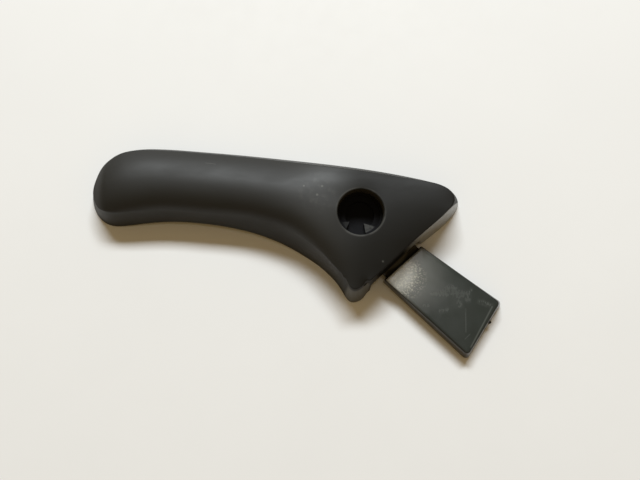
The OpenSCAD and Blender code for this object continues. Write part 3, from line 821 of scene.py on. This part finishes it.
# ---------------------------------------------------------------- materials
class Graph:
    """Short calls that build one material's nodes. Sizes are in millimetres."""

    def __init__(self, name, **values):
        self.material = bpy.data.materials.new(name)
        self.material.use_nodes = True
        self.tree = self.material.node_tree
        self.shader = self.tree.nodes["Principled BSDF"]
        for socket, value in values.items():
            self.shader.inputs[socket.replace("_", " ")].default_value = value
        self.place = self.node("ShaderNodeTexCoord").outputs["Object"]

    def node(self, kind, inputs=(), **settings):
        """A node of that kind, with a link or a value for each of the inputs given."""
        node = self.tree.nodes.new(kind)
        for key, value in settings.items():
            setattr(node, key, value)
        for key, value in dict(inputs).items():
            if isinstance(value, bpy.types.NodeSocket):
                self.tree.links.new(value, node.inputs[key])
            else:
                node.inputs[key].default_value = value
        return node

    def vector(self, operation, a, b=(0, 0, 0)):
        """A vector sum, product or the like, as its node."""
        return self.node("ShaderNodeVectorMath", {0: a, 1: b}, operation=operation)

    def math(self, operation, a, b=0.0):
        """The result of one operation on two values."""
        return self.node("ShaderNodeMath", {0: a, 1: b}, operation=operation).outputs[0]

    def times(self, a, b):
        """The product of two values."""
        return self.math("MULTIPLY", a, b)

    def axis(self, index):
        """The place along x, y or z, in metres."""
        return self.node("ShaderNodeSeparateXYZ", {0: self.place}).outputs[index]

    def zone(self, index, low, high, to_low=0.0, to_high=1.0):
        """A value that changes between two places along an axis."""
        return self.between(self.axis(index), low * MM, high * MM, to_low, to_high)

    def between(self, value, low, high, to_low=0.0, to_high=1.0):
        """The value carried from one range to another, with a smooth change."""
        inputs = {0: value, 1: low, 2: high, 3: to_low, 4: to_high}
        return self.node("ShaderNodeMapRange", inputs, interpolation_type="SMOOTHSTEP").outputs[0]

    def noise(self, size, detail=2.0, stretch=(1, 1, 1)):
        """Clouds of that size, finer along an axis with a greater stretch."""
        where = self.vector("MULTIPLY", self.place, stretch).outputs[0]
        inputs = {"Vector": where, "Scale": 1 / (size * MM), "Detail": detail}
        return self.node("ShaderNodeTexNoise", inputs).outputs[0]

    def specks(self, size, radius, share):
        """Round dots in a share of cells of that size."""
        cell = self.node("ShaderNodeTexVoronoi", {"Vector": self.place, "Scale": 1 / (size * MM)})
        dot = self.between(cell.outputs["Distance"], radius, radius * 0.4)
        pick = self.node("ShaderNodeSeparateColor", {0: cell.outputs["Color"]}).outputs[0]
        return self.times(dot, self.math("LESS_THAN", pick, share))

    def spot(self, centre, radius, soft):
        """1 inside a circle in plan, fading over the soft width outside it."""
        flat = self.vector("MULTIPLY", self.place, (1, 1, 0)).outputs[0]
        off = self.vector("DISTANCE", flat, (centre[0] * MM, centre[1] * MM, 0)).outputs["Value"]
        return self.between(off, (radius + soft) * MM, radius * MM)

    def streak(self, start, end, width):
        """1 along a straight line in plan, fading to 0 at that distance from it."""
        a, b = Vector((*start, 0)) * MM, Vector((*end, 0)) * MM
        along = b - a
        flat = self.vector("MULTIPLY", self.place, (1, 1, 0)).outputs[0]
        from_a = self.vector("SUBTRACT", flat, a).outputs[0]
        share = self.vector("DOT_PRODUCT", from_a, along / along.length_squared).outputs["Value"]
        share = self.node("ShaderNodeClamp", {0: share}).outputs[0]
        scaled = self.node("ShaderNodeVectorMath", {0: along, "Scale": share}, operation="SCALE")
        off = self.vector("DISTANCE", from_a, scaled.outputs[0]).outputs["Value"]
        return self.between(off, width * MM, 0.0)

    def streaks(self, lines):
        """Several streaks, each given as its start, its end and its width."""
        return self.most([self.streak(*line) for line in lines])

    def most(self, masks):
        """The greatest of some masks at each place."""
        result = masks[0]
        for mask in masks[1:]:
            result = self.math("MAXIMUM", result, mask)
        return result

    def mix(self, factor, a, b):
        """Colour a turned into colour b by that factor."""
        def colour(value):
            return value if isinstance(value, bpy.types.NodeSocket) else (*value, 1)
        inputs = {0: factor, 6: colour(a), 7: colour(b)}
        return self.node("ShaderNodeMix", inputs, data_type="RGBA").outputs[2]

    def bump(self, height, depth, normal=None):
        """The normal of a surface with that relief, over another normal if it is given."""
        inputs = {"Height": height, "Distance": depth * MM, "Strength": 1.0}
        if normal is not None:
            inputs["Normal"] = normal
        return self.node("ShaderNodeBump", inputs).outputs[0]

    def finish(self, **links):
        """Links the outputs to the shader's sockets and returns the material."""
        for socket, output in links.items():
            self.tree.links.new(output, self.shader.inputs[socket.replace("_", " ")])
        return self.material


def grip_wear(g, colour):
    """Adds the grip's marks, its dust and the rubbed patch beside the recess."""
    dust = g.times(g.specks(2.6, 0.09, 0.2), g.between(g.noise(14), 0.5, 0.72))
    marks = g.most([g.streak(*GRIP_LINE)] + [g.spot(*dot) for dot in GRIP_DOTS])
    rubbed = g.between(g.noise(2.2, 3.0), 0.45, 0.75)
    rubbed = g.times(rubbed, g.spot(RUBBED_AT, RUBBED_R, RUBBED_SOFT))
    pale = g.most([
        g.times(marks, MARK_SHARE), g.times(dust, DUST_SHARE), g.times(rubbed, RUBBED_SHARE),
    ])
    return g.mix(pale, colour, MARK_COLOUR)


def end_wall_masks(g):
    """The head's end face below its shoulder, painted as shade, and its part towards +X, where a
    reflection is painted pale.
    """
    out_way = (math.cos(END_DIR), math.sin(END_DIR), 0)
    out = g.vector("DOT_PRODUCT", g.place, out_way).outputs["Value"]
    wall = g.times(
        g.between(out, END_WALL_OUT[0] * MM, END_WALL_OUT[1] * MM),
        g.zone(2, END_WALL_TOP[1], END_WALL_TOP[0]),
    )
    wall = g.times(wall, g.zone(0, *END_WALL_FROM))
    return wall, g.times(wall, g.zone(0, *END_WALL_REFLECTION_X))


def tip_mask(g):
    """The wall round the head's lower tip, where a reflection is painted lighter."""
    tip = g.times(g.zone(0, TIP_X[1], TIP_X[0]), g.zone(2, TIP_Z[1], TIP_Z[0]))
    return g.times(tip, g.spot(TIP_AT, TIP_R, TIP_SOFT))


def recess_tones(g, colour):
    """Paints light on the top of the recess's wall, and a broken highlight line round its rim."""
    wall = g.zone(2, RECESS_TOP[1], RECESS_TOP[0])
    wall = g.times(g.spot((0, 0), RECESS_REACH, RECESS_SOFT), wall)
    colour = g.mix(wall, colour, RECESS_PAINTED_LIGHT)
    lip = g.math("SUBTRACT", g.spot((0, 0), *LIP_OUT), g.spot((0, 0), *LIP_IN))
    lip = g.times(lip, g.between(g.noise(7, 2.0), 0.4, 0.62, 0.06, 0.5))
    return g.mix(lip, colour, LIP_PAINTED_HIGHLIGHT)


def grip_plastic():
    """Soft black plastic with a fine grain and light wear. Its sheen changes in three zones along the
    handle. On the end face shade and a reflection are painted into the colour, on the tip's wall a
    reflection, and on the recess light on its wall and a highlight round its rim."""
    g = Graph("grip_plastic")
    specular = g.math(
        "MINIMUM", g.zone(0, SHEEN_GRIP_TO, SHEEN_NECK, GRIP_SPECULAR, NECK_SPECULAR),
        g.zone(0, SHEEN_NECK, SHEEN_HEAD_FROM, NECK_SPECULAR, HEAD_SPECULAR),
    )
    tone = g.mix(g.noise(22, 3.0), GRIP_DARK, GRIP_LIGHT)
    tone = g.mix(g.zone(0, HEAD_TONE_FROM, HEAD_TONE_TO), tone, HEAD_TONE)
    colour = grip_wear(g, tone)
    smear = g.noise(7, 3.0, (0.35, 1, 1))
    roughness = g.between(smear, 0.3, 0.7, GRIP_ROUGH - 0.03, GRIP_ROUGH + 0.05)
    wall, pale = end_wall_masks(g)
    patchy = g.between(g.noise(1.6, 3.0), 0.3, 0.65, 0.72, 1.0)
    # Painted shade on the end face, and a painted reflection, broken up by noise, on its part towards
    # +X.
    colour = g.mix(wall, colour, END_WALL_PAINTED_SHADE)
    colour = g.mix(g.times(pale, patchy), colour, END_WALL_PAINTED_REFLECTION)
    # Painted reflection on the tip's wall.
    colour = g.mix(g.times(tip_mask(g), TIP_SHARE), colour, TIP_PAINTED_REFLECTION)
    specular = g.times(specular, g.between(wall, 0.0, 1.0, 1.0, END_WALL_SPECULAR))
    specular = g.math("ADD", specular, g.times(pale, PALE_SPECULAR))
    roughness = g.node("ShaderNodeMix", {0: wall, 2: roughness, 3: END_WALL_ROUGH}).outputs[0]
    # Painted light on the recess's wall and a painted highlight round its rim.
    colour = recess_tones(g, colour)
    grain = g.bump(g.noise(0.4, 2.0), 0.006)
    normal = g.bump(g.noise(9, 2.0), 0.03, grain)
    return g.finish(
        Base_Color=colour, Roughness=roughness, Normal=normal, Specular_IOR_Level=specular
    )


def arm_scuffs(g, colour, smudges):
    """Adds smudges, hairlines and haze, a painted highlight along the far edge, and a painted sheen
    round the root to the colour.
    """
    hairs = g.between(g.noise(0.5, 3.0, (0.12, 1, 1)), 0.66, 0.8)
    haze = g.between(g.noise(3.2, 4.0), 0.35, 0.7, 0.2, 1.0)
    haze = g.times(g.spot(HAZE_AT, HAZE_R, HAZE_SOFT), haze)
    pale = g.math("MAXIMUM", g.times(smudges, SMUDGE_SHARE), g.times(hairs, HAIR_SHARE))
    pale = g.math("ADD", pale, g.times(haze, HAZE_SHARE))
    # Painted highlight along the far edge.
    pale = g.math("MAXIMUM", pale, g.times(g.streak(*FAR_EDGE_HIGHLIGHT), FAR_EDGE_HIGHLIGHT_SHARE))
    # Painted sheen round the root.
    sheen_patch = g.times(g.spot(ROOT_SHEEN_AT, ROOT_SHEEN_R, ROOT_SHEEN_SOFT), ROOT_SHEEN_SHARE)
    sheen_spread = g.times(g.spot(SHEEN_SPREAD_AT, SHEEN_SPREAD_R, SHEEN_SPREAD_SOFT), SHEEN_SPREAD_SHARE)
    return g.mix(g.math("ADD", sheen_patch, sheen_spread), g.mix(pale, colour, SCUFF_AND_HIGHLIGHT_COLOUR), ROOT_SHEEN_COLOUR)


def arm_plastic():
    """Smooth black plastic with smudged scuffs, and a speckled patch beside the head. Below the
    block's top, its sides and the neck are painted near-black as shade.
    """
    g = Graph("arm_plastic", Specular_IOR_Level=0.5)
    on_top = g.zone(2, NECK_Z + NECK_T + 0.02, NECK_Z + NECK_T + 0.12)
    root = g.times(g.spot(end_point(*ROOT_AT), ROOT_R, ROOT_SOFT), on_top)
    pits = g.times(g.between(g.noise(0.75, 3.0), 0.5, 0.6), root)
    broken = g.between(g.noise(0.6, 4.0, (1, 0.45, 1)), 0.34, 0.64, 0.1, 1.0)
    scratches = g.times(g.streaks(SCRATCHES), SCRATCH_OF_SMUDGE)
    smudges = g.math("MAXIMUM", g.times(g.streaks(SMUDGES), broken), scratches)
    colour = arm_scuffs(g, g.mix(g.noise(12, 3.0), ARM_DARK, ARM_LIGHT), smudges)
    colour = g.mix(g.times(pits, PIT_SHARE), colour, PIT_COLOUR)
    # Painted shade below the block's top.
    colour = g.mix(on_top, ARM_PAINTED_SHADE, colour)
    rough = g.between(g.noise(5, 4.0), 0.3, 0.7, ARM_ROUGH - 0.03, ARM_ROUGH + 0.05)
    rough = g.math("ADD", rough, g.times(smudges, 0.15))
    normal = g.bump(g.noise(7, 2.0), 0.03)
    normal = g.bump(g.times(pits, -1.0), 0.015, normal)
    return g.finish(Base_Color=colour, Roughness=rough, Normal=normal)


def cover_plastic():
    """Moulded cover with an even spark-eroded grain."""
    g = Graph("cover_plastic", Specular_IOR_Level=0.45)
    colour = g.mix(g.noise(10, 3.0), (0.018, 0.018, 0.018), (0.03, 0.03, 0.029))
    roughness = g.between(g.noise(3, 3.0), 0.3, 0.7, 0.5, 0.66)
    normal = g.bump(g.noise(0.45, 3.0), 0.02)
    return g.finish(Base_Color=colour, Roughness=roughness, Normal=normal)


def hub_plastic():
    """Near-black glass-filled plastic, rubbed smooth on top of its lugs, where a grey highlight is
    painted, stronger towards +X.
    """
    g = Graph("hub_plastic", Specular_IOR_Level=0.12)
    patchy = g.between(g.noise(0.7, 3.0), 0.3, 0.6, 0.4, 1.0)
    sheen_patch = g.times(g.zone(2, *HUB_TOP), g.spot((0, 0), HUB_HIGHLIGHT_R, HUB_HIGHLIGHT_SOFT))
    sheen_patch = g.times(g.times(sheen_patch, patchy), g.zone(0, *HUB_HIGHLIGHT_X, *HUB_HIGHLIGHT_SHARES))
    colour = g.mix(sheen_patch, HUB_COLOUR, HUB_PAINTED_HIGHLIGHT)
    roughness = g.between(sheen_patch, 0.0, 1.0, 0.9, 0.5)
    normal = g.bump(g.noise(0.5, 3.0), 0.02)
    return g.finish(Base_Color=colour, Roughness=roughness, Normal=normal)


def metal(name, light, dark, rough, brushed=(1, 1, 1), grain=0.004):
    """Metal with clouded colour, uneven polish and a fine machined grain."""
    g = Graph(name, Metallic=1.0)
    colour = g.mix(g.noise(4, 4.0), dark, light)
    roughness = g.between(g.noise(1.6, 4.0), 0.3, 0.7, rough - 0.07, rough + 0.1)
    normal = g.bump(g.noise(0.3, 2.0, brushed), grain)
    return g.finish(Base_Color=colour, Roughness=roughness, Normal=normal)


def soft_polymer(name, light, dark, rough, grain):
    """Nylon or rubber, with a slight cloudiness and a matte skin."""
    g = Graph(name, Specular_IOR_Level=0.4)
    colour = g.mix(g.noise(3, 3.0), dark, light)
    roughness = g.between(g.noise(1.2, 3.0), 0.3, 0.7, rough - 0.06, rough + 0.06)
    normal = g.bump(g.noise(0.25, 2.0), grain)
    return g.finish(Base_Color=colour, Roughness=roughness, Normal=normal)


def table_top():
    """Pale, slightly cool table top, which the room's light warms."""
    g = Graph("table_top", Specular_IOR_Level=0.3)
    colour = g.mix(g.noise(60, 3.0), TABLE_DARK, TABLE_LIGHT)
    roughness = g.between(g.noise(8, 3.0), 0.3, 0.7, 0.5, 0.6)
    return g.finish(Base_Color=colour, Roughness=roughness)


def paint(piece, material):
    """Gives a CAD node one finish all over."""
    piece.data.materials.clear()
    piece.data.materials.append(material)
    for slot in piece.material_slots:
        slot.material = material


# ---------------------------------------------------------------- camera, light and floor
def make_camera():
    """Looks down from slightly in front, as a person does at something on a table."""
    data = bpy.data.cameras.new("camera")
    data.sensor_width = 36
    data.lens = CAMERA_LENS
    camera = bpy.data.objects.new("camera", data)
    camera.location = Vector(CAMERA_PLACE) * MM
    camera.rotation_euler = (CAMERA_TILT, 0, 0)
    bpy.context.scene.collection.objects.link(camera)
    bpy.context.scene.camera = camera


def make_lamp(name, place, target, size, power, colour):
    """A rectangular soft light at a place in metres, turned to its target."""
    data = bpy.data.lights.new(name, "AREA")
    data.shape = "RECTANGLE"
    data.size, data.size_y = size
    data.energy = power
    data.color = colour
    light = bpy.data.objects.new(name, data)
    light.location = place
    way = Vector(target) - Vector(place)
    light.rotation_euler = way.to_track_quat("-Z", "Y").to_euler()
    bpy.context.scene.collection.objects.link(light)


def make_world():
    """A dim room whose walls give a little warm light from every side."""
    world = bpy.data.worlds.new("room")
    world.use_nodes = True
    background = world.node_tree.nodes["Background"]
    background.inputs["Color"].default_value = (*ROOM_COLOUR, 1)
    bpy.context.scene.world = world


def make_floor(material):
    """The table top that the handle lies on."""
    bm = bmesh.new()
    bmesh.ops.create_grid(bm, x_segments=1, y_segments=1, size=FLOOR_HALF)
    floor = new_object("floor", bm)
    floor.data.materials.append(material)


def dress(piece, body, node, material):
    """Puts a new piece on its body in its finish, in place of a CAD node if one is given."""
    piece.data.materials.append(material)
    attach(piece, body)
    if node:
        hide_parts(node)


finishes = {
    "grip_plastic": grip_plastic(),
    "arm_plastic": arm_plastic(),
    "cover_plastic": cover_plastic(),
    "hub_plastic": hub_plastic(),
    "plated_steel": metal("plated_steel", (0.66, 0.66, 0.64), (0.5, 0.5, 0.47), 0.34),
    "spring_steel": metal("spring_steel", (0.34, 0.34, 0.35), (0.2, 0.2, 0.2), 0.3, (1, 1, 6)),
    "brass": metal("brass", (0.78, 0.6, 0.3), (0.6, 0.44, 0.2), 0.3, (1, 1, 8)),
    "bronze": metal("bronze", (0.6, 0.4, 0.2), (0.42, 0.27, 0.13), 0.46, grain=0.012),
    "washer_nylon": soft_polymer("washer_nylon", (0.76, 0.74, 0.67), (0.66, 0.63, 0.55), 0.45, 0.004),
    "rubber": soft_polymer("rubber", (0.028, 0.028, 0.027), (0.016, 0.016, 0.016), 0.78, 0.012),
}

make_camera()
slots = {part["node"]: part["material_slot"] for part in frame["record"]["subparts"]}
for name, node in frame["nodes"].items():
    paint(node, finishes[slots[name]])
    soften(node, EDGE_ROUND.get(name, PLAIN_EDGE_ROUND))

dress(make_grip(), "handle", "grip_cover", finishes["grip_plastic"])
dress(make_ribs(), "handle", None, finishes["grip_plastic"])
dress(make_arm_block(), "arm", "arm_block", finishes["arm_plastic"])
dress(make_cover_screws(), "handle", "cover_screws", finishes["plated_steel"])

spring = make_spring()
spring.data.materials.append(finishes["spring_steel"])
coil_rise = spring_path()[1]
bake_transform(spring)
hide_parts("return_spring")

make_floor(table_top())
make_lamp("window", WINDOW_PLACE, (0, 0, 0), WINDOW_SIZE, WINDOW_POWER, WINDOW_COLOUR)
make_lamp("ceiling", CEILING_PLACE, (0, 0, 0), CEILING_SIZE, CEILING_POWER, CEILING_COLOUR)
make_world()
bpy.context.scene.view_settings.view_transform = "Standard"
